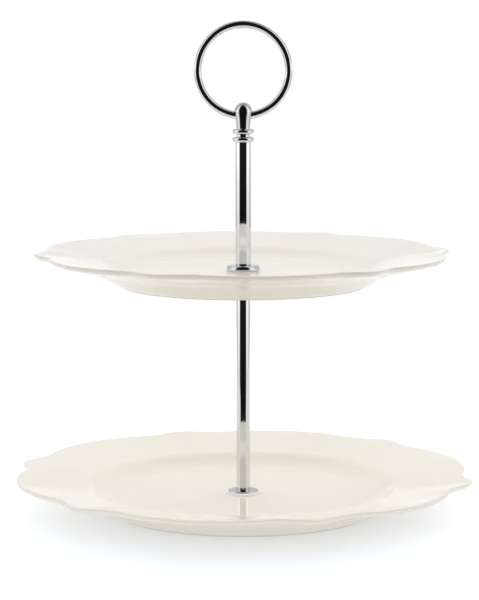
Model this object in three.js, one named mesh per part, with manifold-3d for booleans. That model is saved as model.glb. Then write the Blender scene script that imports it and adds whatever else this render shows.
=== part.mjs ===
// Two-tier cake stand: two scalloped glazed plates on a chromed rod with a ring handle.
// Millimetres, +Z up. The origin is on the rod's axis, at the level the foot stands on.
import * as THREE from 'three';
import { mergeVertices } from 'three/addons/utils/BufferGeometryUtils.js';
import Module from 'manifold-3d';

// ---- driving dimensions -------------------------------------------------------------

// Heights inside a plate are measured from the bottom of its own foot ring.
const lowerPlate = {
  rimRadius: 135, // mean radius of the scalloped edge
  rimHeight: 21.4,
  rimThickness: 3.0,
  scallop: 1.0, // size of the lobes, as a share of the lobe pattern below
  turn: 47, // degrees from +X to the middle of a narrow lobe
  crestRadius: 92, // where the well's wall rolls over into the rim
  crestHeight: 14.8,
  floorRadius: 74,
  floorThickness: 4.0,
  kneeRadius: 99, // where the underside of the wall bends into the rim
  kneeHeight: 9.4,
  footRadius: 81.5,
  footWidth: 4.0,
};
const upperPlate = {
  rimRadius: 120.8,
  rimHeight: 19.8,
  rimThickness: 2.8,
  scallop: 0.87,
  turn: 6.3,
  crestRadius: 83,
  crestHeight: 13.8,
  floorRadius: 66.5,
  floorThickness: 4.4,
  footRecess: 4.0, // how far the underside of the floor stands above the foot
  kneeRadius: 89,
  kneeHeight: 8.9,
  footRadius: 73,
  footWidth: 3.6,
};

// The edge is a round of six narrow and six wide lobes: cosines of 6, 12, 18 and 24 per turn.
const lobesPerTurn = 6;
const lobeHarmonics = [-1.11, 2.19, 1.45, 0.82];

const threadRadius = 2.0; // M4
const threadPitch = 0.7;
const threadTurns = 10; // turns that free a thread
const threadSpare = 1.0; // thread left over past those turns
const plateHoleRadius = 4.8;
const footSlope = 1.5; // how far each side of a foot ring leans out
const tubeWall = 0.8;
const lowerRodRadius = 4.05;
const lowerRodLength = 125.1;
const upperRodRadius = 4.55;
const upperRodLength = 73.2;
const insertLength = 11;

const lowerTopPad = { radius: 10.5, thickness: 1.3, collarDepth: 3.0 };
const lowerUnderPad = { radius: 9.0, thickness: 0.8 };
const upperTopPad = { radius: 9.4, thickness: 0.8, collarDepth: 3.2 };
const upperUnderPad = { radius: 8.5, thickness: 0.8 };
const padCollarWall = 1.6;

const lowerFlange = { radius: 9.0, thickness: 1.5 };
const upperFlange = { radius: 10.15, thickness: 2.5 };
const supportWasher = { radius: 8.0, thickness: 1.2 };
const baseWasher = { radius: 7.5, thickness: 0.8 };
const boltHead = { radius: 5.5, height: 2.1, slotWidth: 1.2, slotDepth: 1.0 };
const boltHeadToTable = 0.6;

// The upper flange is captive: a lip on the rod's insert holds it up in a counterbore.
const captiveNeckRadius = 3.0;
const captiveLipRadius = 3.9;
const captiveLipThickness = 0.7;

const finialHeight = 23.2;
const finialHoleDepth = 6;
const beadRadius = 6.4;
const beadHeight = 3.0;
const beadGap = 1.6;
const grooveRadius = 3.75;
const neckRadius = 3.95;
const ballRadius = 5.35;
const ballHeight = 17.9; // the ball's widest level above the finial's base

const ringOuterRadius = 29.0;
const ringWireRadius = 2.2;
const ringBoreHeight = 15.2; // the cross bore's axis above the finial's base

const runningClearance = 0.3; // radial gap between a shaft and its hole
const edgeRound = 0.3; // small chamfer on turned metal edges

const plateSegments = 96; // a multiple of 12, so that each lobe's tip is a corner
const rodSegments = 24;
const washerSegments = 32;
const ringSegments = 60;
const wireSegments = 12;

// ---- levels up the rod, each from the piece below it -----------------------------------

// The lower foot is as deep as what hangs under its floor, so that the screw clears the table.
lowerPlate.footRecess =
  boltHeadToTable + boltHead.height + baseWasher.thickness + lowerUnderPad.thickness;

const lowerFloorUnder = lowerPlate.footRecess;
const lowerFloorTop = lowerFloorUnder + lowerPlate.floorThickness;
const boltHeadTop = boltHeadToTable + boltHead.height;
const lowerUnderPadBase = boltHeadTop + baseWasher.thickness;
const lowerFlangeBase = lowerFloorTop + lowerTopPad.thickness;
const lowerRodBase = lowerFlangeBase + lowerFlange.thickness;
const lowerRodTop = lowerRodBase + lowerRodLength;
const upperUnderPadBase = lowerRodTop + supportWasher.thickness;
const upperFloorUnder = upperUnderPadBase + upperUnderPad.thickness;
const upperFloorTop = upperFloorUnder + upperPlate.floorThickness;
const upperFootLevel = upperFloorUnder - upperPlate.footRecess;
const upperFlangeBase = upperFloorTop + upperTopPad.thickness;
const upperRodBase = upperFlangeBase + upperFlange.thickness;
const upperRodTop = upperRodBase + upperRodLength;
const ringBoreLevel = upperRodTop + ringBoreHeight;
const ringPathRadius = ringOuterRadius - ringWireRadius;

const threadHoleRadius = threadRadius + runningClearance;
const threadGrip = threadTurns * threadPitch + threadSpare;
const finialStudReach = finialHoleDepth - runningClearance;

// ---- helpers ----------------------------------------------------------------------------

const wasm = await Module();
wasm.setup();

const degrees = Math.PI / 180;

/** A solid of revolution about Z from [radius, height] corners, in anticlockwise order. */
function turned(corners, segments) {
  const outline = corners.map(([radius, height]) => new THREE.Vector2(radius, height));
  if (corners[0][0] > 0) {
    outline.push(outline[0].clone());
  }
  return new THREE.LatheGeometry(outline, segments).rotateX(Math.PI / 2);
}

/** A washer or tube: a ring of rectangular section with chamfered outer edges. */
function washer(innerRadius, outerRadius, low, high, segments, chamfer = 0) {
  if (chamfer === 0) {
    return turned(
      [[innerRadius, low], [outerRadius, low], [outerRadius, high], [innerRadius, high]],
      segments,
    );
  }
  return turned(
    [
      [innerRadius, low],
      [outerRadius - chamfer, low],
      [outerRadius, low + chamfer],
      [outerRadius, high - chamfer],
      [outerRadius - chamfer, high],
      [innerRadius, high],
    ],
    segments,
  );
}

/** Corners of an arc about a centre, from one angle to another in degrees. */
function arc(centreRadius, centreHeight, radius, from, to, steps) {
  const corners = [];
  for (let i = 0; i <= steps; i += 1) {
    const angle = (from + ((to - from) * i) / steps) * degrees;
    corners.push([
      centreRadius + radius * Math.cos(angle),
      centreHeight + radius * Math.sin(angle),
    ]);
  }
  return corners;
}

function asSolid(geometry) {
  const bare = geometry.clone();
  bare.deleteAttribute('normal');
  bare.deleteAttribute('uv');
  const merged = mergeVertices(bare, 1e-4);
  return new wasm.Manifold(
    new wasm.Mesh({
      numProp: 3,
      vertProperties: new Float32Array(merged.attributes.position.array),
      triVerts: new Uint32Array(merged.index.array),
    }),
  );
}

function asGeometry(solid) {
  const mesh = solid.getMesh();
  const geometry = new THREE.BufferGeometry();
  geometry.setAttribute('position', new THREE.BufferAttribute(mesh.vertProperties, 3));
  geometry.setIndex(new THREE.BufferAttribute(mesh.triVerts, 1));
  geometry.computeVertexNormals();
  return geometry;
}

// ---- plates -----------------------------------------------------------------------------

/** How far the scalloped edge stands out from its mean radius at an angle in radians. */
function lobeOffset(plate, angle) {
  const fromLobe = angle - plate.turn * degrees;
  return lobeHarmonics.reduce(
    (sum, height, i) => sum + plate.scallop * height * Math.cos(lobesPerTurn * (i + 1) * fromLobe),
    0,
  );
}

/** The section of a plate: foot ring, underside, rounded edge, rim, wall, floor and hole. */
function plateSection(plate) {
  const floorUnder = plate.footRecess;
  const floorTop = floorUnder + plate.floorThickness;
  const wallRun = plate.crestRadius - plate.floorRadius;
  const wallRise = plate.crestHeight - floorTop;
  const rimRun = plate.rimRadius - plate.crestRadius;
  const rimRise = plate.rimHeight - plate.crestHeight;
  const halfEdge = plate.rimThickness / 2;
  const footInner = plate.footRadius - plate.footWidth;
  const underRimRadius = plate.rimRadius - halfEdge;
  const underRimHeight = plate.rimHeight - plate.rimThickness;
  const underRimRun = underRimRadius - plate.kneeRadius;
  const underRimRise = underRimHeight - plate.kneeHeight;
  return [
    [plateHoleRadius, floorUnder],
    [footInner - footSlope, floorUnder],
    [footInner, 0],
    [plate.footRadius, 0],
    [plate.footRadius + footSlope, 0.6 * footSlope],
    [plate.kneeRadius, plate.kneeHeight],
    [plate.kneeRadius + 0.23 * underRimRun, plate.kneeHeight + 0.32 * underRimRise],
    [underRimRadius, underRimHeight],
    [plate.rimRadius, underRimHeight + halfEdge],
    [plate.rimRadius - 0.7 * halfEdge, plate.rimHeight],
    [plate.crestRadius + 0.4 * rimRun, plate.crestHeight + 0.44 * rimRise],
    [plate.crestRadius + 0.05 * rimRun, plate.crestHeight + 0.1 * rimRise],
    [plate.crestRadius - 0.14 * wallRun, plate.crestHeight - 0.22 * wallRise],
    [plate.crestRadius - 0.4 * wallRun, plate.crestHeight - 0.66 * wallRise],
    [plate.crestRadius - 0.7 * wallRun, plate.crestHeight - 0.94 * wallRise],
    [plate.floorRadius, floorTop],
    [plateHoleRadius, floorTop],
  ];
}

/** The lobes grow from nothing at the well's crest to their full size at the edge. */
function plateGeometry(plate) {
  const geometry = turned(plateSection(plate), plateSegments).rotateZ(plate.turn * degrees);
  const position = geometry.attributes.position;
  const start = plate.crestRadius;
  for (let i = 0; i < position.count; i += 1) {
    const x = position.getX(i);
    const y = position.getY(i);
    const radius = Math.hypot(x, y);
    if (radius > start) {
      const share = Math.min(1, (radius - start) / (plate.rimRadius - start)) ** 2;
      const scale = 1 + (share * lobeOffset(plate, Math.atan2(y, x))) / radius;
      position.setXY(i, x * scale, y * scale);
    }
  }
  geometry.computeVertexNormals();
  return geometry;
}

// ---- pads, washers and flanges -------------------------------------------------------------

/** A moulded washer whose collar drops into the plate's hole and keeps the stud off the glaze. */
function shoulderPad(pad, level) {
  const collarRadius = plateHoleRadius - runningClearance;
  const boreRadius = Math.max(threadHoleRadius, collarRadius - padCollarWall);
  return turned(
    [
      [boreRadius, level - pad.collarDepth],
      [collarRadius, level - pad.collarDepth],
      [collarRadius, level],
      [pad.radius, level],
      [pad.radius, level + 0.6 * pad.thickness],
      [pad.radius - 0.4 * pad.thickness, level + pad.thickness],
      [boreRadius, level + pad.thickness],
    ],
    washerSegments,
  );
}

function upperFlangeGeometry() {
  const base = upperFlangeBase;
  const top = upperRodBase;
  const holeRadius = captiveNeckRadius + runningClearance;
  const boreRadius = captiveLipRadius + runningClearance;
  const boreTop = base + captiveLipThickness + 2 * runningClearance;
  return turned(
    [
      [boreRadius, base],
      [upperFlange.radius - edgeRound, base],
      [upperFlange.radius, base + edgeRound],
      [upperFlange.radius, top - 2 * edgeRound],
      [upperFlange.radius - 2 * edgeRound, top],
      [holeRadius, top],
      [holeRadius, boreTop],
      [boreRadius, boreTop],
    ],
    washerSegments,
  );
}

// ---- threaded pieces -----------------------------------------------------------------------

function stud(low, high) {
  return turned(
    [
      [0, low],
      [threadRadius - edgeRound, low],
      [threadRadius, low + edgeRound],
      [threadRadius, high - edgeRound],
      [threadRadius - edgeRound, high],
      [0, high],
    ],
    rodSegments,
  );
}

/** A plug with a threaded bore, fixed inside one end of a tube. */
function insert(tubeRadius, low, high) {
  const outer = tubeRadius - tubeWall - runningClearance;
  return washer(threadHoleRadius, outer, low, high, rodSegments);
}

/** The upper rod's lower insert goes down through the flange and ends in the lip that holds it. */
function captiveInsert() {
  const lipBase = upperFlangeBase + runningClearance;
  const lipTop = lipBase + captiveLipThickness;
  const plugRadius = upperRodRadius - tubeWall - runningClearance;
  return turned(
    [
      [threadHoleRadius, lipBase],
      [captiveLipRadius, lipBase],
      [captiveLipRadius, lipTop],
      [captiveNeckRadius, lipTop],
      [captiveNeckRadius, upperRodBase],
      [plugRadius, upperRodBase],
      [plugRadius, upperRodBase + insertLength],
      [threadHoleRadius, upperRodBase + insertLength],
    ],
    rodSegments,
  );
}

/** A low round-headed screw with a cross recess, driven from under the lower plate. */
function baseBoltGeometry() {
  const headTop = boltHeadTop;
  const headBase = boltHeadToTable;
  const shankTop = lowerRodBase + threadGrip;
  const body = turned(
    [
      [0, headBase],
      [0.62 * boltHead.radius, headBase],
      [0.9 * boltHead.radius, headBase + 0.3 * boltHead.height],
      [boltHead.radius, headBase + 0.7 * boltHead.height],
      [boltHead.radius, headTop],
      [threadRadius, headTop],
      [threadRadius, shankTop - edgeRound],
      [threadRadius - edgeRound, shankTop],
      [0, shankTop],
    ],
    rodSegments,
  );
  let solid = asSolid(body);
  for (const turn of [0, 90]) {
    const slot = new THREE.BoxGeometry(boltHead.radius, boltHead.slotWidth, 2 * boltHead.slotDepth);
    slot.rotateZ(turn * degrees).translate(0, 0, headBase);
    solid = solid.subtract(asSolid(slot));
  }
  return asGeometry(solid);
}

// ---- finial and ring ----------------------------------------------------------------------

function ringGeometry(wireRadius) {
  const ring = new THREE.TorusGeometry(ringPathRadius, wireRadius, wireSegments, ringSegments);
  return ring.rotateX(Math.PI / 2).translate(0, 0, ringBoreLevel + ringPathRadius);
}

/** Two rounded beads, a waist and a ball; a blind threaded hole below, the ring's bore across. */
function finialGeometry() {
  const base = upperRodTop;
  const top = base + finialHeight;
  const bead = beadHeight / 2;
  const beadCentre = beadRadius - bead;
  const lowBead = base + bead;
  const highBead = lowBead + beadHeight + beadGap;
  const ballLevel = base + ballHeight;
  const holeTop = base + finialHoleDepth;
  const domeRise = top - ballLevel;
  const waist = highBead + bead + 0.7;
  const dome = arc(0, 0, 1, 0, 75, 4).map(([r, z]) => [ballRadius * r, ballLevel + domeRise * z]);
  const body = turned(
    [
      [0, holeTop],
      [threadHoleRadius, holeTop],
      [threadHoleRadius, base],
      ...arc(beadCentre, lowBead, bead, -90, 90, 4),
      [grooveRadius, lowBead + bead],
      [grooveRadius, highBead - bead],
      ...arc(beadCentre, highBead, bead, -90, 90, 4),
      [neckRadius, highBead + bead],
      [neckRadius, waist],
      [neckRadius + 0.22 * (ballRadius - neckRadius), waist + 0.3 * (ballLevel - waist)],
      [neckRadius + 0.72 * (ballRadius - neckRadius), waist + 0.64 * (ballLevel - waist)],
      ...dome,
      [0, top],
    ],
    rodSegments,
  );
  const cutter = ringGeometry(ringWireRadius + runningClearance);
  return asGeometry(asSolid(body).subtract(asSolid(cutter)));
}

// ---- assembly -----------------------------------------------------------------------------

const finishes = {
  glaze: { color: 0xf2ede0, roughness: 0.12, metalness: 0 },
  chrome: { color: 0xd6d8da, roughness: 0.08, metalness: 1 },
  steel: { color: 0xb9bcbf, roughness: 0.3, metalness: 1 },
  brass: { color: 0xc9a85c, roughness: 0.3, metalness: 1 },
  nylon: { color: 0xe6e4dc, roughness: 0.5, metalness: 0 },
};

const stand = new THREE.Group();

function place(name, geometry, finish) {
  const mesh = new THREE.Mesh(geometry, new THREE.MeshStandardMaterial(finishes[finish]));
  mesh.name = name;
  stand.add(mesh);
  return mesh;
}

place('lower_plate', plateGeometry(lowerPlate), 'glaze');
place('lower_plate_top_pad', shoulderPad(lowerTopPad, lowerFloorTop), 'nylon');
place(
  'lower_plate_under_pad',
  washer(
    threadHoleRadius,
    lowerUnderPad.radius,
    lowerUnderPadBase,
    lowerFloorUnder,
    washerSegments,
  ),
  'nylon',
);
place(
  'base_washer',
  washer(
    threadHoleRadius,
    baseWasher.radius,
    boltHeadTop,
    lowerUnderPadBase,
    washerSegments,
  ),
  'steel',
);
place('base_bolt', baseBoltGeometry(), 'steel');
place(
  'lower_flange',
  washer(
    threadHoleRadius,
    lowerFlange.radius,
    lowerFlangeBase,
    lowerRodBase,
    washerSegments,
    edgeRound,
  ),
  'chrome',
);
place(
  'lower_rod',
  washer(lowerRodRadius - tubeWall, lowerRodRadius, lowerRodBase, lowerRodTop, rodSegments),
  'chrome',
);
place(
  'lower_rod_bottom_insert',
  insert(lowerRodRadius, lowerRodBase, lowerRodBase + insertLength),
  'brass',
);
place(
  'lower_rod_top_insert',
  insert(lowerRodRadius, lowerRodTop - insertLength, lowerRodTop),
  'brass',
);
place('joining_stud', stud(lowerRodTop - insertLength, upperRodBase + threadGrip), 'steel');
place(
  'upper_support_washer',
  washer(
    threadHoleRadius,
    supportWasher.radius,
    lowerRodTop,
    upperUnderPadBase,
    washerSegments,
    edgeRound,
  ),
  'chrome',
);
place(
  'upper_plate_under_pad',
  washer(
    threadHoleRadius,
    upperUnderPad.radius,
    upperUnderPadBase,
    upperFloorUnder,
    washerSegments,
  ),
  'nylon',
);
place('upper_plate', plateGeometry(upperPlate), 'glaze').position.z = upperFootLevel;
place('upper_plate_top_pad', shoulderPad(upperTopPad, upperFloorTop), 'nylon');
place('upper_flange', upperFlangeGeometry(), 'chrome');
place('upper_rod_bottom_insert', captiveInsert(), 'brass');
place(
  'upper_rod',
  washer(upperRodRadius - tubeWall, upperRodRadius, upperRodBase, upperRodTop, rodSegments),
  'chrome',
);
place(
  'upper_rod_top_insert',
  insert(upperRodRadius, upperRodTop - insertLength, upperRodTop),
  'brass',
);
place('finial_stud', stud(upperRodTop - insertLength, upperRodTop + finialStudReach), 'steel');
place('finial', finialGeometry(), 'chrome');
place('ring_handle', ringGeometry(ringWireRadius), 'chrome');

export default stand;
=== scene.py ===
"""A two-tier cake stand: scalloped glazed plates on a chromed rod with a ring handle.

The script follows the stand as it is put together, from the lower plate up to the ring.
"""

import math

import bpy
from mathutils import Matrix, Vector


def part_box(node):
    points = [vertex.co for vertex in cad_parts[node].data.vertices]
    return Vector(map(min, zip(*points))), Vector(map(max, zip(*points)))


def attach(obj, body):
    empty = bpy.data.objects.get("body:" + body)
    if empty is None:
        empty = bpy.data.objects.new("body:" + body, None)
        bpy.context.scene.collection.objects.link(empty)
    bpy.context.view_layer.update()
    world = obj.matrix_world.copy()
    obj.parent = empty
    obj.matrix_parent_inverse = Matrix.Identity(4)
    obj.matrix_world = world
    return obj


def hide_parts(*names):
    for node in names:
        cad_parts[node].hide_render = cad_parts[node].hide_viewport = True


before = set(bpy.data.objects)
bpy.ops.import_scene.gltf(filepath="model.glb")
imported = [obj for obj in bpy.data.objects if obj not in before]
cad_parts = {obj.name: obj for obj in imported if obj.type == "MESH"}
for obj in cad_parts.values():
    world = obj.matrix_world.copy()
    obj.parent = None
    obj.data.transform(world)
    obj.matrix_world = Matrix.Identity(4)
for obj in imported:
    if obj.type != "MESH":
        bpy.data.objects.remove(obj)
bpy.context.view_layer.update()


# ---- lower plate -------------------------------------------------------------------------
# The larger plate: earthenware pressed over a turned mould, its edge cut in six wide and
# six narrow lobes. It is glazed all over in cream white, except where the foot ring stands.

MM = 0.001


def linear(hex_colour):
    """A colour written as sRGB hex, as the linear values that the shaders take."""
    channels = [int(hex_colour[i : i + 2], 16) / 255 for i in (1, 3, 5)]
    return [
        c / 12.92 if c <= 0.04045 else ((c + 0.055) / 1.055) ** 2.4 for c in channels
    ] + [1.0]


def per_metre(size_mm):
    """The texture scale at which one cell of a pattern is this many millimetres."""
    return 1 / (size_mm * MM)


def add_node(tree, kind, inputs=None, **settings):
    """Adds a node. An input that is given a socket is linked to it, any other is set."""
    node = tree.nodes.new(kind)
    for key, value in settings.items():
        setattr(node, key, value)
    for key, value in (inputs or {}).items():
        if isinstance(value, bpy.types.NodeSocket):
            tree.links.new(value, node.inputs[key])
        else:
            node.inputs[key].default_value = value
    return node


def new_finish(name):
    """A material, its empty node tree, and the piece's own coordinates in it."""
    material = bpy.data.materials.new(name)
    material.use_nodes = True
    tree = material.node_tree
    tree.nodes.clear()
    return material, tree, add_node(tree, "ShaderNodeTexCoord").outputs["Object"]


def noise(tree, place, size, detail, roughness):
    """A share from 0 to 1 that varies over cells of this size in mm."""
    cells = {"Vector": place, "Scale": per_metre(size)}
    return add_node(
        tree, "ShaderNodeTexNoise", {**cells, "Detail": detail, "Roughness": roughness}
    ).outputs["Fac"]


MIX_FIRST, MIX_SECOND, MIX_COLOUR = 6, 7, 2


def mix_colours(tree, share, first, second, blend_type="MIX"):
    """The first colour turned into the second, or into their product, by this share."""
    inputs = {0: share, MIX_FIRST: first, MIX_SECOND: second}
    mix = add_node(tree, "ShaderNodeMix", inputs, data_type="RGBA", blend_type=blend_type)
    return mix.outputs[MIX_COLOUR]


def maths(tree, operation, *values):
    """One step of arithmetic on sockets and numbers."""
    step = add_node(tree, "ShaderNodeMath", dict(enumerate(values)), operation=operation)
    return step.outputs[0]


def graded(tree, share, low, high):
    """A value that goes from low to high as the share goes from 0 to 1."""
    span = {"Value": share, "To Min": low, "To Max": high}
    return add_node(tree, "ShaderNodeMapRange", span).outputs["Result"]


def bump(tree, height, strength, depth):
    """The normal of a surface that rises by this depth in mm where the height is 1."""
    relief = {"Height": height, "Strength": strength, "Distance": depth * MM}
    return add_node(tree, "ShaderNodeBump", relief).outputs["Normal"]


def close_finish(tree, shader_inputs):
    """Ends a material with its shader and output."""
    shader = add_node(tree, "ShaderNodeBsdfPrincipled", shader_inputs)
    add_node(tree, "ShaderNodeOutputMaterial", {"Surface": shader.outputs["BSDF"]})


def curve_through(knots, steps):
    """Points on a smooth curve through (radius, height) knots."""
    points = []
    ends = [knots[0], *knots, knots[-1]]
    for a, b, c, d in zip(ends, ends[1:], ends[2:], ends[3:]):
        for step in range(steps):
            t = step / steps
            points.append(
                tuple(
                    b[i]
                    + 0.5
                    * t
                    * (
                        c[i]
                        - a[i]
                        + t * (2 * a[i] - 5 * b[i] + 4 * c[i] - d[i])
                        + t * t * (3 * (b[i] - c[i]) + d[i] - a[i])
                    )
                    for i in (0, 1)
                )
            )
    return [*points, knots[-1]]


def turned_mesh(name, outline, around, shift=None):
    """A solid of revolution about Z from (radius, height) points in mm, anticlockwise.

    shift(radius, angle) may move a point in or out, which is how the scallops are made.
    """
    vertices, faces, rings = [], [], []
    for radius, height in outline:
        if radius == 0:
            rings.append([len(vertices)] * around)
            vertices.append((0, 0, height * MM))
            continue
        rings.append([len(vertices) + i for i in range(around)])
        for i in range(around):
            angle = 2 * math.pi * i / around
            far = radius + (shift(radius, angle) if shift else 0)
            vertices.append(
                (far * math.cos(angle) * MM, far * math.sin(angle) * MM, height * MM)
            )
    pairs = list(zip(rings, rings[1:]))
    if outline[0][0] > 0:
        pairs.append((rings[-1], rings[0]))
    for low, high in pairs:
        for i in range(around):
            j = (i + 1) % around
            corners = [low[i], low[j], high[j], high[i]]
            face = [v for n, v in enumerate(corners) if v not in corners[:n]]
            if len(face) > 2:
                faces.append(face)
    mesh = bpy.data.meshes.new(name)
    mesh.from_pydata(vertices, [], faces)
    return mesh


SHARP_ANGLE = 34


def add_piece(name, mesh, body, node, slot_name, *materials, sharp=SHARP_ANGLE):
    """Puts a mesh in the scene in place of its CAD node, riding on a body."""
    piece = bpy.data.objects.new(name, mesh)
    bpy.context.scene.collection.objects.link(piece)
    for material in materials:
        mesh.materials.append(material)
    mesh.shade_smooth()
    mesh.set_sharp_from_angle(angle=math.radians(sharp))
    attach(piece, body)
    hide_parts(node)
    return piece


# Cream tin glaze over earthenware. It is glassy, with a faint orange-peel surface, a
# slightly warmer tone where it pooled thick, and it thins to the buff body at the edge.
# Along the edge that darker buff is partly painted shade, a thin dark line of shade.
glaze, tree, place = new_finish("cream_tin_glaze_fired_glossy")
pooling = noise(tree, place, size=45, detail=2.0, roughness=0.5)
pooled_tone = mix_colours(tree, pooling, linear("#F7F3EA"), linear("#F3EEE3"))
thin = add_node(tree, "ShaderNodeAttribute", attribute_name="thin_glaze_and_edge_shade")
speckle = noise(tree, place, size=1.6, detail=3.0, roughness=0.6)
thin_and_edge_shade_share = maths(tree, "MULTIPLY", thin.outputs["Fac"], speckle)
# The buff tone where the glaze is thin; along the edge it is also painted shade.
glaze_tone = mix_colours(tree, thin_and_edge_shade_share, pooled_tone, linear("#D9CDBA"))
orange_peel = noise(tree, place, size=6, detail=1.0, roughness=0.4)
glaze_gloss = graded(tree, speckle, 0.09, 0.13)
peel_bump = bump(tree, orange_peel, strength=0.2, depth=0.03)
close_finish(
    tree,
    {
        "Base Color": glaze_tone,
        "Roughness": glaze_gloss,
        "Normal": peel_bump,
        "IOR": 1.5,
    },
)

# Fired clay with no glaze on it: the foot is wiped clean before firing, so that the plate
# doesn't stick to the kiln shelf. Matt buff, with a grit that is drawn at 0.5 mm.
bisque, tree, place = new_finish("earthenware_bisque_wiped_foot")
grit = noise(tree, place, size=0.5, detail=4.0, roughness=0.7)
scuffs = noise(tree, place, size=9, detail=2.0, roughness=0.6)
clay_tone = mix_colours(tree, grit, linear("#EAE2D4"), linear("#DCD0BC"))
scuffed_tone = mix_colours(tree, scuffs, clay_tone, linear("#D6CEC2"))
grit_bump = bump(tree, grit, strength=0.6, depth=0.08)
close_finish(
    tree,
    {
        "Base Color": scuffed_tone,
        "Roughness": 0.85,
        "Normal": grit_bump,
    },
)

LOBES = 6
LOBE_HEIGHTS = (-1.11, 2.19, 1.45, 0.82)  # cosines of 6, 12, 18 and 24 per turn, in mm
PLATE_AROUND = 384
PLATE_SHARP = 60
PLATE_HOLE, HOLE_CHAMFER = 4.8, 0.4
FLOOR_END = PLATE_HOLE + 2 * HOLE_CHAMFER
CURVE_STEPS, EDGE_STEPS = 6, 3
# At the edge the thin glaze's darker tone is partly painted shade.
EDGE_THINNING_AND_SHADE, EDGE_FADE = 0.9, 1.1
FOOT_THINNING, FOOT_FADE = 0.4, 1.2
FOOT_BARE = 0.3


def glazed_plate(name, node, body, plate):
    """A plate, its foot at the level of its CAD node. Lengths in mm."""
    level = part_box(node)[0].z / MM
    foot_in, foot_out = plate["foot"]
    recess = plate["recess"]
    rim, rim_top, edge = plate["rim_radius"], plate["rim_height"], plate["edge"] / 2
    crest = plate["crest"]

    foot_side = curve_through(
        [
            (foot_in - 2.6, recess),
            (foot_in - 1.7, recess - 0.35),
            (foot_in - 1.2, recess - 1.2),
            (foot_in - 0.2, 0.7),
            (foot_in + 0.1, 0.2),
            (foot_in + 0.6, 0.0),
        ],
        CURVE_STEPS,
    )
    foot_toe = curve_through(
        [
            (foot_out - 0.7, 0.0),
            (foot_out - 0.2, 0.1),
            (foot_out + 0.1, 0.45),
            *plate["under"],
        ],
        CURVE_STEPS,
    )
    # The edge is crisp above and pared away below, so it casts a thin line of shade.
    pared_edge = curve_through(
        [
            (rim - 1.15 * edge, rim_top - 1.96 * edge),
            (rim - 0.62 * edge, rim_top - 1.55 * edge),
            (rim - 0.22 * edge, rim_top - 0.95 * edge),
            (rim - 0.02 * edge, rim_top - 0.5 * edge),
            (rim - 0.08 * edge, rim_top - 0.22 * edge),
            (rim - 0.34 * edge, rim_top - 0.05 * edge),
            (rim - 0.8 * edge, rim_top),
        ],
        EDGE_STEPS,
    )
    top = curve_through(plate["top"], CURVE_STEPS)
    outline = [
        (PLATE_HOLE + HOLE_CHAMFER, recess),
        *foot_side,
        *foot_toe,
        *pared_edge,
        *top,
        (PLATE_HOLE + HOLE_CHAMFER, top[-1][1]),
        (PLATE_HOLE, top[-1][1] - HOLE_CHAMFER),
        (PLATE_HOLE, recess + HOLE_CHAMFER),
    ]
    outline = [(radius, height + level) for radius, height in outline]

    def scallop(radius, angle):
        if radius <= crest:
            return 0
        share = min(1, (radius - crest) / (rim - crest)) ** 2
        lobe = angle - math.radians(plate["turn"])
        return share * sum(
            plate["scallop"] * height * math.cos(LOBES * (i + 1) * lobe)
            for i, height in enumerate(LOBE_HEIGHTS)
        )

    mesh = turned_mesh(name, outline, PLATE_AROUND, scallop)
    # The glaze is thin along the edge and beside the foot, for about a millimetre. Along
    # the edge its darker tone is set strong, so that it also paints a thin line of shade.
    thin_and_edge_shade_level = mesh.attributes.new("thin_glaze_and_edge_shade", "FLOAT", "POINT")
    for i, (radius, height) in enumerate(p for p in outline for _ in range(PLATE_AROUND)):
        from_edge = math.hypot(radius - rim, height - level - (rim_top - 0.6 * edge))
        from_foot = math.hypot(max(0, foot_in - radius, radius - foot_out), height - level)
        at_edge = EDGE_THINNING_AND_SHADE - from_edge / EDGE_FADE
        at_foot = FOOT_THINNING - from_foot / FOOT_FADE
        thin_and_edge_shade_level.data[i].value = max(0, at_edge, at_foot)
    add_piece(name, mesh, body, node, "glaze", glaze, bisque, sharp=PLATE_SHARP)
    for face in mesh.polygons:
        middle = face.center
        radius = math.hypot(middle.x, middle.y) / MM
        bare = foot_in < radius < foot_out and middle.z / MM - level < FOOT_BARE
        face.material_index = 1 if bare else 0


glazed_plate(
    "lower_plate_glazed",
    "lower_plate",
    "lower_plate",
    {
        "rim_radius": 134.65,
        "rim_height": 21.4,
        "edge": 3.0,
        "scallop": 1.0,
        "turn": 47,
        "crest": 92.0,
        "recess": 4.3,
        "foot": (77.5, 81.5),
        "under": [
            (85.0, 1.7),
            (89.4, 4.4),
            (93.9, 6.9),
            (98.3, 9.2),
            (102.8, 10.8),
            (107.3, 12.1),
            (111.8, 13.2),
            (122.9, 15.8),
            (132.6, 18.1),
        ],
        "top": [
            (132.9, 21.35),
            (124.0, 19.95),
            (112.0, 18.1),
            (104.0, 16.9),
            (98.5, 16.1),
            (95.0, 15.5),
            (92.0, 14.6),
            (89.0, 13.0),
            (86.0, 11.2),
            (82.0, 9.45),
            (78.0, 8.6),
            (74.0, 8.3),
            (66.0, 8.3),
            (FLOOR_END, 8.3),
        ],
    },
)


# ---- pads between plate and metal --------------------------------------------------------
# Four washers moulded in natural nylon. The two above the plates have a collar that drops
# into the hole, so that no metal touches the glaze. They are held only by the screws.

# Natural nylon as it leaves the mould: milky, slightly waxy, with a fine spark texture.
nylon, tree, place = new_finish("natural_nylon_moulded_satin")
haze = noise(tree, place, size=4, detail=2.0, roughness=0.5)
nylon_tone = mix_colours(tree, haze, linear("#F8F7F3"), linear("#F0EEE8"))
spark = noise(tree, place, size=0.25, detail=2.0, roughness=0.5)
spark_bump = bump(tree, spark, strength=0.3, depth=0.02)
close_finish(
    tree,
    {
        "Base Color": nylon_tone,
        "Roughness": 0.42,
        "IOR": 1.53,
        "Subsurface Weight": 0.15,
        "Subsurface Radius": [1.0, 0.9, 0.8],
        "Subsurface Scale": 0.6 * MM,
        "Normal": spark_bump,
    },
)

THREAD_HOLE = 2.3
ROUND_STEPS = 5


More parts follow.
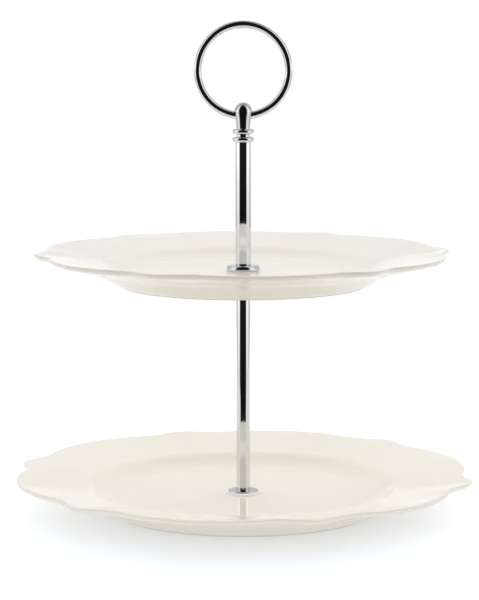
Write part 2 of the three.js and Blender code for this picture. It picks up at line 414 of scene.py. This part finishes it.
def rounded(corners):
    """A closed outline from (radius, height, rounding) corners; each corner is an arc."""
    points = []
    count = len(corners)
    for i, (x, y, rounding) in enumerate(corners):
        here = Vector((x, y))
        if rounding == 0:
            points.append((x, y))
            continue
        back = Vector(corners[i - 1][:2]) - here
        ahead = Vector(corners[(i + 1) % count][:2]) - here
        half = back.angle(ahead) / 2
        reach = rounding / math.tan(half)
        centre = here + (back.normalized() + ahead.normalized()).normalized() * (
            rounding / math.sin(half)
        )
        start = here + back.normalized() * reach - centre
        end = here + ahead.normalized() * reach - centre
        sweep = start.angle(end)
        for step in range(ROUND_STEPS + 1):
            share = step / ROUND_STEPS
            spoke = (
                start * math.sin((1 - share) * sweep) + end * math.sin(share * sweep)
            ) / math.sin(sweep)
            points.append(tuple(centre + spoke))
    return points


WASHER_AROUND = 96


def nylon_pad(node, body, collar=None, taper=0.0):
    """A pad that fills its CAD node's height; a collar is (radius, depth, bore)."""
    low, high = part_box(node)
    radius, base, top = high.x / MM, low.z / MM, high.z / MM
    if collar is None:
        corners = [
            (THREAD_HOLE, base, 0.1),
            (radius, base, 0.2),
            (radius, top, 0.2),
            (THREAD_HOLE, top, 0.1),
        ]
    else:
        collar_radius, depth, bore = collar
        shelf = base + depth
        corners = [
            (bore, base, 0.15),
            (collar_radius, base, 0.3),
            (collar_radius, shelf, 0),
            (radius, shelf, 0.1),
            (radius, top - taper, 0.15),
            (radius - 1.2 * taper, top, 0.2),
            (bore, top, 0.1),
        ]
    mesh = turned_mesh(node + "_moulded", rounded(corners), WASHER_AROUND)
    add_piece(node + "_moulded", mesh, body, node, "nylon", nylon)


PAD_COLLAR, PAD_BORE = 4.5, 2.9
nylon_pad("lower_plate_under_pad", "base_washer")
nylon_pad("lower_plate_top_pad", "lower_plate", (PAD_COLLAR, 3.0, PAD_BORE), taper=0.5)
nylon_pad("upper_plate_under_pad", "upper_plate")
nylon_pad("upper_plate_top_pad", "upper_plate", (PAD_COLLAR, 3.2, PAD_BORE), taper=0.3)


# ---- base screw and washer ---------------------------------------------------------------
# An M4 pan-head screw with a cross recess comes up through a plain washer, the under pad
# and the plate into the lower rod. Both are cold-formed steel, bright zinc plated.

# Bright zinc plate on steel: a grey metal with a soft, slightly cloudy shine.
zinc, tree, place = new_finish("steel_zinc_plated_bright")
clouds = noise(tree, place, size=2.5, detail=3.0, roughness=0.55)
zinc_tone = mix_colours(tree, clouds, linear("#C3C7CB"), linear("#A9AFB5"))
zinc_gloss = graded(tree, clouds, 0.24, 0.42)
close_finish(
    tree,
    {
        "Base Color": zinc_tone,
        "Metallic": 1.0,
        "Roughness": zinc_gloss,
    },
)

low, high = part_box("base_washer")
mesh = turned_mesh(
    "base_washer_plain",
    rounded(
        [
            (THREAD_HOLE, low.z / MM, 0.08),
            (high.x / MM, low.z / MM, 0.22),
            (high.x / MM, high.z / MM, 0.1),
            (THREAD_HOLE, high.z / MM, 0.08),
        ]
    ),
    WASHER_AROUND,
)
add_piece("base_washer_plain", mesh, "base_washer", "base_washer", "zinc_steel", zinc)

THREAD_CREST, THREAD_PITCH, THREAD_DEPTH = 2.0, 0.7, 0.38
THREAD_CHAMFER = 0.5
FLANK_SLOPE = 2.6
THREAD_AROUND = 36
ROWS_PER_TURN = 8
THREAD_SHARP = 40


def thread_radius(height, angle):
    """The radius of a right-hand M4 thread's flank at a height and angle, in mm."""
    phase = (height / THREAD_PITCH - angle / (2 * math.pi)) % 1
    tooth = min(1, max(0, FLANK_SLOPE / 2 - FLANK_SLOPE * abs(phase - 0.5)))
    return THREAD_CREST - THREAD_DEPTH * (1 - tooth)


def threaded_rings(low_end, high_end, taper_low, taper_high):
    """Rings of points up a threaded shank, drawn in to a chamfer at the ends asked for."""
    rows = max(2, round((high_end - low_end) / THREAD_PITCH * ROWS_PER_TURN))
    rings = []
    for row in range(rows + 1):
        height = low_end + (high_end - low_end) * row / rows
        limit = THREAD_CREST
        if taper_low:
            limit = min(limit, THREAD_CREST - THREAD_CHAMFER + (height - low_end))
        if taper_high:
            limit = min(limit, THREAD_CREST - THREAD_CHAMFER + (high_end - height))
        ring = []
        for i in range(THREAD_AROUND):
            angle = 2 * math.pi * i / THREAD_AROUND
            radius = min(limit, thread_radius(height, angle))
            ring.append((radius * math.cos(angle), radius * math.sin(angle), height))
        rings.append(ring)
    return rings


def mesh_from_rings(name, rings):
    """A closed mesh from rings of equal count, with a flat cap at each end."""
    count = len(rings[0])
    vertices = [tuple(c * MM for c in point) for ring in rings for point in ring]
    faces = [list(reversed(range(count)))]
    for row in range(len(rings) - 1):
        for i in range(count):
            j = (i + 1) % count
            a, b = row * count, (row + 1) * count
            faces.append([a + i, a + j, b + j, b + i])
    faces.append([(len(rings) - 1) * count + i for i in range(count)])
    mesh = bpy.data.meshes.new(name)
    mesh.from_pydata(vertices, [], faces)
    return mesh


def cut_away(piece, cutter):
    """Cuts one mesh out of another for good."""
    cut = piece.modifiers.new("cut", "BOOLEAN")
    cut.operation, cut.solver, cut.object = "DIFFERENCE", "EXACT", cutter
    bpy.context.view_layer.update()
    done = bpy.data.meshes.new_from_object(
        piece.evaluated_get(bpy.context.evaluated_depsgraph_get())
    )
    piece.modifiers.clear()
    piece.data = done
    bpy.data.objects.remove(cutter)
    return done


# The head is a low dome below a flat bearing face; the shank is threaded all the way.
low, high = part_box("base_bolt")
head_low, head_top = low.z / MM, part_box("base_washer")[0].z / MM
head_radius = high.x / MM
head_profile = [
    (0.35 * head_radius, head_low),
    (0.55 * head_radius, head_low + 0.04),
    (0.74 * head_radius, head_low + 0.22),
    (0.88 * head_radius, head_low + 0.6),
    (0.96 * head_radius, head_low + 1.1),
    (head_radius, head_low + 1.6),
    (head_radius, head_top - 0.15),
    (head_radius - 0.15, head_top),
    (THREAD_CREST, head_top),
]
head_rings = [
    [
        (
            radius * math.cos(2 * math.pi * i / THREAD_AROUND),
            radius * math.sin(2 * math.pi * i / THREAD_AROUND),
            height,
        )
        for i in range(THREAD_AROUND)
    ]
    for radius, height in head_profile
]
SHANK_STEP = 0.05
shank_rings = threaded_rings(head_top + SHANK_STEP, high.z / MM, False, True)
bolt = add_piece(
    "base_screw_pan_head",
    mesh_from_rings("base_screw_pan_head", head_rings + shank_rings),
    "base_bolt",
    "base_bolt",
    "zinc_steel",
    zinc,
    sharp=THREAD_SHARP,
)

# The recess is a tapered cross, cut up into the head from below.
RECESS_DEPTH, RECESS_ARM, RECESS_WIDTH = 1.5, 2.75, 0.6
CUT_BELOW, MOUTH_SHARE, FLOOR_SHARE = 0.5, 1.15, 0.55
recess_rings = []
for height, share in (
    (head_low - CUT_BELOW, MOUTH_SHARE),
    (head_low + RECESS_DEPTH, FLOOR_SHARE),
):
    arm, width = RECESS_ARM * share, RECESS_WIDTH * (0.5 + 0.5 * share)
    ring = []
    for cos, sin in ((1, 0), (0, 1), (-1, 0), (0, -1)):
        for x, y in ((arm, -width), (arm, width), (width, width)):
            ring.append((x * cos - y * sin, x * sin + y * cos, height))
    recess_rings.append(ring)
recess_cutter = bpy.data.objects.new(
    "recess_cutter", mesh_from_rings("recess_cutter", recess_rings)
)
bpy.context.scene.collection.objects.link(recess_cutter)
cut_away(bolt, recess_cutter).set_sharp_from_angle(angle=math.radians(THREAD_SHARP))


# ---- lower rod, its flange and inserts ---------------------------------------------------
# A chromed steel tube stands on a low domed flange on the lower plate. A brass plug with an
# M4 thread is pressed into each end: one takes the base screw, the other the joining stud.

# Bright chromium over nickel on polished steel: a cool mirror with faint polishing haze.
chrome, tree, place = new_finish("chromium_plate_mirror_polished")
polish = noise(tree, place, size=7, detail=3.0, roughness=0.6)
chrome_tone = mix_colours(tree, polish, linear("#DCDEE0"), linear("#D3D5D8"))
chrome_gloss = graded(tree, polish, 0.02, 0.07)
ripple = noise(tree, place, size=5, detail=1.0, roughness=0.4)
ripple_bump = bump(tree, ripple, strength=0.25, depth=0.02)
close_finish(
    tree,
    {
        "Base Color": chrome_tone,
        "Metallic": 1.0,
        "Roughness": chrome_gloss,
        "Normal": ripple_bump,
    },
)

# Free-cutting brass as turned: a warm yellow metal with the tool's fine rings round it,
# 0.2 mm apart and so drawn at 0.4 mm.
brass, tree, place = new_finish("free_cutting_brass_turned")
tarnish = noise(tree, place, size=3, detail=3.0, roughness=0.6)
brass_tone = mix_colours(tree, tarnish, linear("#D2B06A"), linear("#B8924E"))
tool_rings = add_node(
    tree,
    "ShaderNodeTexWave",
    {"Vector": place, "Scale": per_metre(0.4 * math.pi), "Distortion": 0.3},
    bands_direction="Z",
)
ring_bump = bump(tree, tool_rings.outputs["Fac"], strength=0.3, depth=0.02)
close_finish(
    tree,
    {
        "Base Color": brass_tone,
        "Metallic": 1.0,
        "Roughness": 0.3,
        "Normal": ring_bump,
    },
)

TUBE_WALL = 0.8
ROD_AROUND = 128
PLUG_CHAMFER, SINK_DEPTH = 0.15, 0.4


def chromed_tube(name, node, body):
    """A tube of its CAD node's length and radius, its ends broken with a small round."""
    low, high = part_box(node)
    radius, base, top = high.x / MM, low.z / MM, high.z / MM
    bore = radius - TUBE_WALL
    corners = [
        (bore, base, 0.1),
        (radius, base, 0.2),
        (radius, top, 0.2),
        (bore, top, 0.1),
    ]
    mesh = turned_mesh(name, rounded(corners), ROD_AROUND)
    add_piece(name, mesh, body, node, "chrome", chrome)


def brass_insert(node, body):
    """A plug with a countersunk bore at both ends."""
    low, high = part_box(node)
    radius, base, top = high.x / MM, low.z / MM, high.z / MM
    corners = [
        (THREAD_HOLE, base + SINK_DEPTH, 0),
        (THREAD_HOLE + PLUG_CHAMFER, base, 0),
        (radius - PLUG_CHAMFER, base, 0),
        (radius, base + PLUG_CHAMFER, 0),
        (radius, top - PLUG_CHAMFER, 0),
        (radius - PLUG_CHAMFER, top, 0),
        (THREAD_HOLE + PLUG_CHAMFER, top, 0),
        (THREAD_HOLE, top - SINK_DEPTH, 0),
    ]
    mesh = turned_mesh(node + "_turned", rounded(corners), WASHER_AROUND)
    add_piece(node + "_turned", mesh, body, node, "brass", brass)


low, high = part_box("lower_flange")
base, top, radius = low.z / MM, high.z / MM, high.x / MM
rod_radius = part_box("lower_rod")[1].x / MM
mesh = turned_mesh(
    "lower_flange_domed",
    rounded(
        [
            (THREAD_HOLE, base, 0.1),
            (radius, base, 0.12),
            (radius, base + 0.75, 0.45),
            (rod_radius + 1.6, top, 0.9),
            (THREAD_HOLE, top, 0),
        ]
    ),
    ROD_AROUND,
)
add_piece("lower_flange_domed", mesh, "lower_rod", "lower_flange", "chrome", chrome)
chromed_tube("lower_rod_tube", "lower_rod", "lower_rod")
brass_insert("lower_rod_bottom_insert", "lower_rod")
brass_insert("lower_rod_top_insert", "lower_rod")


# ---- joining stud and support washer -----------------------------------------------------
# A length of M4 threaded rod is locked in the top of the lower rod and holds the two rods
# and the upper plate together. The plate rests on a chromed washer on the lower rod.

low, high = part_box("joining_stud")
mesh = mesh_from_rings(
    "joining_stud_threaded", threaded_rings(low.z / MM, high.z / MM, True, True)
)
add_piece(
    "joining_stud_threaded",
    mesh,
    "lower_rod",
    "joining_stud",
    "zinc_steel",
    zinc,
    sharp=THREAD_SHARP,
)

low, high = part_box("upper_support_washer")
mesh = turned_mesh(
    "support_washer_chromed",
    rounded(
        [
            (THREAD_HOLE, low.z / MM, 0.1),
            (high.x / MM, low.z / MM, 0.35),
            (high.x / MM, high.z / MM, 0.25),
            (THREAD_HOLE, high.z / MM, 0.1),
        ]
    ),
    ROD_AROUND,
)
add_piece(
    "support_washer_chromed", mesh, "lower_rod", "upper_support_washer", "chrome", chrome
)


# ---- upper plate -------------------------------------------------------------------------
# The smaller plate, pressed and glazed as the lower one is and with the same lobes, a
# little thicker in the floor. It is clamped between the support washer and the flange.

glazed_plate(
    "upper_plate_glazed",
    "upper_plate",
    "upper_plate",
    {
        "rim_radius": 120.8,
        "rim_height": 19.8,
        "edge": 2.8,
        "scallop": 0.87,
        "turn": 6.3,
        "crest": 83.0,
        "recess": 4.0,
        "foot": (69.4, 73.0),
        "under": [
            (76.0, 1.6),
            (80.0, 4.1),
            (84.0, 6.4),
            (88.0, 8.5),
            (92.0, 10.0),
            (96.0, 11.2),
            (100.0, 12.2),
            (110.0, 14.6),
            (118.6, 16.7),
        ],
        "top": [
            (118.8, 19.75),
            (110.0, 18.3),
            (100.0, 16.7),
            (93.0, 15.6),
            (88.0, 14.8),
            (85.0, 14.25),
            (82.5, 13.4),
            (79.5, 11.9),
            (76.4, 10.2),
            (72.8, 9.1),
            (69.5, 8.55),
            (66.5, 8.4),
            (59.0, 8.4),
            (FLOOR_END, 8.4),
        ],
    },
)


# ---- upper flange ------------------------------------------------------------------------
# A turned and chromed flange that presses the upper plate down. It is counterbored below,
# so that the rod's lip holds it captive while the rod turns in it.

low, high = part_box("upper_flange")
base, top, radius = low.z / MM, high.z / MM, high.x / MM
NECK_HOLE, LIP_BORE, BORE_DEPTH = 3.3, 4.2, 1.3
mesh = turned_mesh(
    "upper_flange_turned",
    rounded(
        [
            (LIP_BORE, base, 0.1),
            (radius, base, 0.15),
            (radius, base + 0.7, 0.35),
            (radius - 0.85, top, 0.8),
            (NECK_HOLE, top, 0.1),
            (NECK_HOLE, base + BORE_DEPTH, 0),
            (LIP_BORE, base + BORE_DEPTH, 0),
        ]
    ),
    ROD_AROUND,
)
add_piece("upper_flange_turned", mesh, "upper_flange", "upper_flange", "chrome", chrome)


# ---- upper rod and what is fixed in it ---------------------------------------------------
# The upper tube turns with everything above it. Its lower brass plug reaches down through
# the flange and ends in a lip; a threaded stud, locked in the top plug, carries the finial.

low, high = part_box("upper_rod_bottom_insert")
lip_base, plug_top = low.z / MM, high.z / MM
rod_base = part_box("upper_rod")[0].z / MM
LIP_RADIUS, LIP_THICKNESS, NECK_RADIUS = 3.9, 0.7, 3.0
PLUG_PLAY = 0.3
plug_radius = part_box("upper_rod")[1].x / MM - TUBE_WALL - PLUG_PLAY
lip_radius = min(LIP_RADIUS, high.x / MM)
mesh = turned_mesh(
    "captive_insert_turned",
    rounded(
        [
            (THREAD_HOLE, lip_base, 0.1),
            (lip_radius, lip_base, 0.15),
            (lip_radius, lip_base + LIP_THICKNESS, 0.1),
            (NECK_RADIUS, lip_base + LIP_THICKNESS, 0),
            (NECK_RADIUS, rod_base, 0),
            (plug_radius, rod_base, 0.1),
            (plug_radius, plug_top, 0.15),
            (THREAD_HOLE, plug_top, 0.1),
        ]
    ),
    WASHER_AROUND,
)
add_piece(
    "captive_insert_turned", mesh, "upper_rod", "upper_rod_bottom_insert", "brass", brass
)
chromed_tube("upper_rod_tube", "upper_rod", "upper_rod")
brass_insert("upper_rod_top_insert", "upper_rod")

low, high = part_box("finial_stud")
mesh = mesh_from_rings(
    "finial_stud_threaded", threaded_rings(low.z / MM, high.z / MM, True, True)
)
add_piece(
    "finial_stud_threaded",
    mesh,
    "upper_rod",
    "finial_stud",
    "zinc_steel",
    zinc,
    sharp=THREAD_SHARP,
)


# ---- finial ------------------------------------------------------------------------------
# Turned from one bar, polished and chromed: two half-round beads, a waist that swells to a
# ball, a blind threaded hole below and a cross bore that the ring runs through.

low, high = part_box("finial")
base, top = low.z / MM, high.z / MM
BEAD_RADIUS, BEAD_HEIGHT, BEAD_GAP = 6.4, 3.0, 1.6
GROOVE_RADIUS, NECK_ABOVE, BALL_RADIUS, BALL_LEVEL = 3.75, 3.95, 5.35, 17.9
HOLE_DEPTH = 6.0
GROOVE_ROUND = 0.15
BEAD_STEPS = 16


def bead(level):
    """The outer half-round of a bead whose lower face is at this height."""
    centre, half = BEAD_RADIUS - BEAD_HEIGHT / 2, BEAD_HEIGHT / 2
    return [
        (
            centre + half * math.sin(math.pi * i / BEAD_STEPS),
            level + half - half * math.cos(math.pi * i / BEAD_STEPS),
        )
        for i in range(BEAD_STEPS + 1)
    ]


upper_bead = base + BEAD_HEIGHT + BEAD_GAP
waist = upper_bead + BEAD_HEIGHT
shoulder = base + BALL_LEVEL
swell = curve_through(
    [
        (NECK_ABOVE + 0.25, waist),
        (NECK_ABOVE, waist + 0.3),
        (NECK_ABOVE + 0.05, waist + 1.2),
        (NECK_ABOVE + 0.28, waist + 3.6),
        (NECK_ABOVE + 0.62, waist + 5.8),
        (NECK_ABOVE + 0.98, waist + 7.6),
        (BALL_RADIUS - 0.14, waist + 9.1),
        *[
            (
                BALL_RADIUS * math.cos(math.radians(rise)),
                shoulder + (top - shoulder) * math.sin(math.radians(rise)),
            )
            for rise in range(0, 90, 10)
        ],
        (0.3, top - 0.01),
    ],
    CURVE_STEPS,
)
outline = [
    (0, base + HOLE_DEPTH),
    (THREAD_HOLE, base + HOLE_DEPTH),
    (THREAD_HOLE, base),
    *bead(base),
    (GROOVE_RADIUS + GROOVE_ROUND, base + BEAD_HEIGHT),
    (GROOVE_RADIUS, base + BEAD_HEIGHT + GROOVE_ROUND),
    (GROOVE_RADIUS, upper_bead - GROOVE_ROUND),
    (GROOVE_RADIUS + GROOVE_ROUND, upper_bead),
    *bead(upper_bead),
    *swell,
    (0, top),
]
finial = add_piece(
    "finial_turned",
    turned_mesh("finial_turned", outline, ROD_AROUND),
    "upper_rod",
    "finial",
    "chrome",
    chrome,
)


# ---- ring handle -------------------------------------------------------------------------
# Round steel wire bent to a full circle, brazed shut inside the finial and chromed with it.
# It stands upright and doesn't swing.

low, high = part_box("ring_handle")
WIRE_RADIUS = 2.2
RING_AROUND, BORE_AROUND, WIRE_AROUND = 240, 160, 40
ring_centre = (low.z + high.z) / 2 / MM
ring_path = (high.z - low.z) / 2 / MM - WIRE_RADIUS


def wire_ring(name, wire_radius, around):
    """A torus that stands in the XZ plane."""
    vertices, faces = [], []
    for i in range(around):
        turn = 2 * math.pi * i / around
        for j in range(WIRE_AROUND):
            side = 2 * math.pi * j / WIRE_AROUND
            reach = ring_path + wire_radius * math.cos(side)
            vertices.append(
                (
                    reach * math.cos(turn) * MM,
                    wire_radius * math.sin(side) * MM,
                    (ring_centre + reach * math.sin(turn)) * MM,
                )
            )
            a, b = i * WIRE_AROUND, (i + 1) % around * WIRE_AROUND
            k = (j + 1) % WIRE_AROUND
            faces.append([a + j, a + k, b + k, b + j])
    mesh = bpy.data.meshes.new(name)
    mesh.from_pydata(vertices, [], faces)
    return mesh


add_piece(
    "ring_handle_wire",
    wire_ring("ring_handle_wire", WIRE_RADIUS, RING_AROUND),
    "upper_rod",
    "ring_handle",
    "chrome",
    chrome,
)

# The bore is cut a hair wider than the wire, as the drill leaves it.
BORE_GAP = 0.12
bore_cutter = bpy.data.objects.new(
    "bore_cutter", wire_ring("bore_cutter", WIRE_RADIUS + BORE_GAP, BORE_AROUND)
)
bpy.context.scene.collection.objects.link(bore_cutter)
cut_away(finial, bore_cutter).set_sharp_from_angle(angle=math.radians(SHARP_ANGLE))


# ---- table, studio and camera ------------------------------------------------------------
# A white table top that keeps the stand's soft shadow, in a white room. The studio is dark
# on the side in front of the stand, and the polished metal shows that as a black stripe.


def grey(level):
    """A neutral colour from a linear level."""
    return (level, level, level, 1)


def fade(tree, value, start, end, at_start=0.0, at_end=1.0):
    """Eases from one level to another while the value goes from start to end."""
    span = {"From Min": start, "From Max": end, "To Min": at_start, "To Max": at_end}
    return add_node(
        tree,
        "ShaderNodeMapRange",
        {"Value": value, **span},
        interpolation_type="SMOOTHSTEP",
    ).outputs["Result"]


def choose(tree, share, first, second):
    """The first shader where the share is 0 and the second where it is 1."""
    shaders = {0: share, 1: first, 2: second}
    return add_node(tree, "ShaderNodeMixShader", shaders).outputs["Shader"]


def matt_with_glow(tree, colour, glow_colour, strength):
    """A matt surface with a glow of its own, so that its shadows stay soft."""
    matt = add_node(tree, "ShaderNodeBsdfDiffuse", {"Color": colour})
    glow = add_node(
        tree, "ShaderNodeEmission", {"Color": glow_colour, "Strength": strength}
    )
    shaders = {0: matt.outputs["BSDF"], 1: glow.outputs["Emission"]}
    return add_node(tree, "ShaderNodeAddShader", shaders).outputs["Shader"]


# To the stand the table is half lit and half glowing. The camera sees it nearly white.
table, tree, place = new_finish("matt_white_table_top")
mottle = noise(tree, place, size=60, detail=2.0, roughness=0.5)
table_tone = mix_colours(tree, mottle, linear("#F0F0F0"), linear("#EEEEEE"))
lit_table = matt_with_glow(tree, grey(0.5), table_tone, 0.5)
COOL_WHITE, SEEN_GLOW = (0.89, 0.93, 1.0, 1), 0.19
seen = matt_with_glow(tree, COOL_WHITE, linear("#FFFFFF"), SEEN_GLOW)
# In the polished metal the table's front shows as painted shade: it is given a near-black
# colour only where the metal mirrors it, for the room's unlit side. The dark part is a
# wedge that opens to the front, clear of the plates.
WEDGE_SLOPE, PLATE_REACH, WEDGE_EDGE = 0.8, 0.12, 0.04
along = add_node(tree, "ShaderNodeSeparateXYZ", {"Vector": place})
across = maths(tree, "ABSOLUTE", along.outputs["X"])
wedge = maths(tree, "MULTIPLY_ADD", across, WEDGE_SLOPE, along.outputs["Y"])
past_plate = maths(tree, "ADD", along.outputs["Y"], PLATE_REACH)
clear_wedge = maths(tree, "MAXIMUM", wedge, past_plate)
front_share = fade(tree, clear_wedge, start=0.0, end=-WEDGE_EDGE)
ray = add_node(tree, "ShaderNodeLightPath")
mirrored_front = maths(tree, "MULTIPLY", front_share, ray.outputs["Is Glossy Ray"])
# Painted shade: a near-black colour that only reflections of the table's front see.
unlit = add_node(tree, "ShaderNodeBsdfDiffuse", {"Color": grey(0.02)})
mirrored = choose(tree, mirrored_front, lit_table, unlit.outputs["BSDF"])
from_above = choose(tree, ray.outputs["Is Camera Ray"], mirrored, seen)
# From underneath the table top isn't there, so that the foot and the screw can be seen.
underside = add_node(tree, "ShaderNodeNewGeometry").outputs["Backfacing"]
clear = add_node(tree, "ShaderNodeBsdfTransparent").outputs["BSDF"]
table_shader = choose(tree, underside, from_above, clear)
add_node(tree, "ShaderNodeOutputMaterial", {"Surface": table_shader})

TABLE_SIDE, TABLE_FRONT, TABLE_BACK = 0.6, -0.24, 0.8
table_mesh = bpy.data.meshes.new("table_top")
table_mesh.from_pydata(
    [
        (-TABLE_SIDE, TABLE_FRONT, 0),
        (TABLE_SIDE, TABLE_FRONT, 0),
        (TABLE_SIDE, TABLE_BACK, 0),
        (-TABLE_SIDE, TABLE_BACK, 0),
    ],
    [],
    [[0, 1, 2, 3]],
)
table_mesh.materials.append(table)
table_top = bpy.data.objects.new("table_top", table_mesh)
bpy.context.scene.collection.objects.link(table_top)

world = bpy.data.worlds.new("studio")
bpy.context.scene.world = world
world.use_nodes = True
tree = world.node_tree
tree.nodes.clear()
STUDIO_TURN = 3.5
toward = add_node(
    tree,
    "ShaderNodeVectorRotate",
    {
        "Vector": add_node(tree, "ShaderNodeTexCoord").outputs["Generated"],
        "Angle": math.radians(STUDIO_TURN),
    },
    rotation_type="Z_AXIS",
)
axes = add_node(tree, "ShaderNodeSeparateXYZ", {"Vector": toward.outputs["Vector"]})
sideways = maths(tree, "ABSOLUTE", axes.outputs["X"])
frontward = maths(tree, "MULTIPLY", axes.outputs["Y"], -1.0)
bearing = maths(tree, "ARCTAN2", sideways, frontward)
bearing_share = maths(tree, "MULTIPLY", bearing, 1 / math.pi)


def grey_ramp(tree, share, stops):
    """Grey levels along a share from 0 to 1, from (position, level) stops."""
    node = add_node(tree, "ShaderNodeValToRGB", {"Fac": share})
    elements = node.color_ramp.elements
    while len(elements) < len(stops):
        elements.new(0.5)
    for element, (position, level) in zip(elements, stops):
        element.position = position
        element.color = grey(level)
    return node.outputs["Color"]


def light_from(tree, colour, strength):
    """Light that comes in from all round, of this colour and strength."""
    light = {"Color": colour, "Strength": strength}
    return add_node(tree, "ShaderNodeBackground", light).outputs["Background"]


# The room that shines in glaze and metal. Its walls by bearing, from the front round to the
# back: dark, then a soft box on each side, then white paper.
walls = grey_ramp(
    tree,
    bearing_share,
    [
        (0.0, 0.008),
        (0.268, 0.008),
        (0.35, 0.9),
        (0.41, 1.0),
        (0.51, 0.9),
        (0.62, 0.56),
        (1.0, 0.56),
    ],
)
# How that changes with height: brightest in a low band at table level, with a grey ceiling.
upness = maths(tree, "MULTIPLY_ADD", axes.outputs["Z"], 0.5, 0.5)
heights = grey_ramp(
    tree,
    upness,
    [
        (0.42, 0.56),
        (0.48, 0.72),
        (0.51, 0.86),
        (0.55, 0.84),
        (0.58, 0.60),
        (0.86, 0.60),
        (0.97, 0.30),
    ],
)
STUDIO_STRENGTH, FLOOR_LEVEL = 1.92, 0.47
studio_walls = mix_colours(tree, 1.0, walls, heights, blend_type="MULTIPLY")
underfoot = fade(tree, axes.outputs["Z"], start=-0.50, end=-0.62)
with_floor = mix_colours(tree, underfoot, studio_walls, grey(FLOOR_LEVEL))
studio = light_from(tree, with_floor, STUDIO_STRENGTH)

# The light that falls on matt surfaces. Most of it comes in low from all round, so that it
# reaches under the upper plate. The wall behind gives the most of it, and the unlit side in
# front gives the least, low down.
SIDE_DIMMING, FRONT_DIMMING = -0.66, -0.75
low_band = fade(tree, axes.outputs["Z"], start=0.45, end=0.9, at_start=1.46, at_end=0.52)
back_wall = fade(tree, frontward, start=-0.9, end=0.2, at_start=1.85, at_end=1.0)
side_squared = maths(tree, "MULTIPLY", axes.outputs["X"], axes.outputs["X"])
dim_sides = maths(tree, "MULTIPLY_ADD", side_squared, SIDE_DIMMING, back_wall)
frontness = fade(tree, frontward, start=0.1, end=0.6)
lowness = fade(tree, axes.outputs["Z"], start=0.16, end=0.02, at_end=FRONT_DIMMING)
front_dim = maths(tree, "MULTIPLY_ADD", frontness, lowness, 1.0)
dim_front = maths(tree, "MULTIPLY", dim_sides, front_dim)
dome_level = maths(tree, "MULTIPLY", dim_front, low_band)
soft_dome = light_from(tree, linear("#FFFFFF"), dome_level)

# Behind everything the camera sees plain white.
white = light_from(tree, linear("#FFFFFF"), 1.0)
ray = add_node(tree, "ShaderNodeLightPath")
lit = choose(tree, ray.outputs["Is Glossy Ray"], soft_dome, studio)
shown = choose(tree, ray.outputs["Is Camera Ray"], lit, white)
add_node(tree, "ShaderNodeOutputWorld", {"Surface": shown})

# One broad soft lamp over the table, a little to the front, gives the plates their shape.
LAMP_TILT = 11
lamp_data = bpy.data.lights.new("overhead_soft_lamp", "AREA")
lamp_data.shape = "SQUARE"
lamp_data.size = 1.2
lamp_data.energy = 2.5
lamp = bpy.data.objects.new("overhead_soft_lamp", lamp_data)
lamp.location = (0.0, -0.3, 1.6)
lamp.rotation_euler = (math.radians(LAMP_TILT), 0, 0)
lamp.visible_glossy = False
bpy.context.scene.collection.objects.link(lamp)

# A long lens, 1.4 m away and a little above the ring, looking slightly down.
CAMERA_PITCH = 7.38
camera_data = bpy.data.cameras.new("camera")
camera_data.sensor_width = 36
camera_data.lens = 142.44
camera_data.shift_x = -0.0062
camera = bpy.data.objects.new("camera", camera_data)
camera.location = (0, -1.4, 0.3064)
camera.rotation_euler = (math.radians(90 - CAMERA_PITCH), 0, 0)
bpy.context.scene.collection.objects.link(camera)
bpy.context.scene.camera = camera
bpy.context.scene.view_settings.view_transform = "Standard"
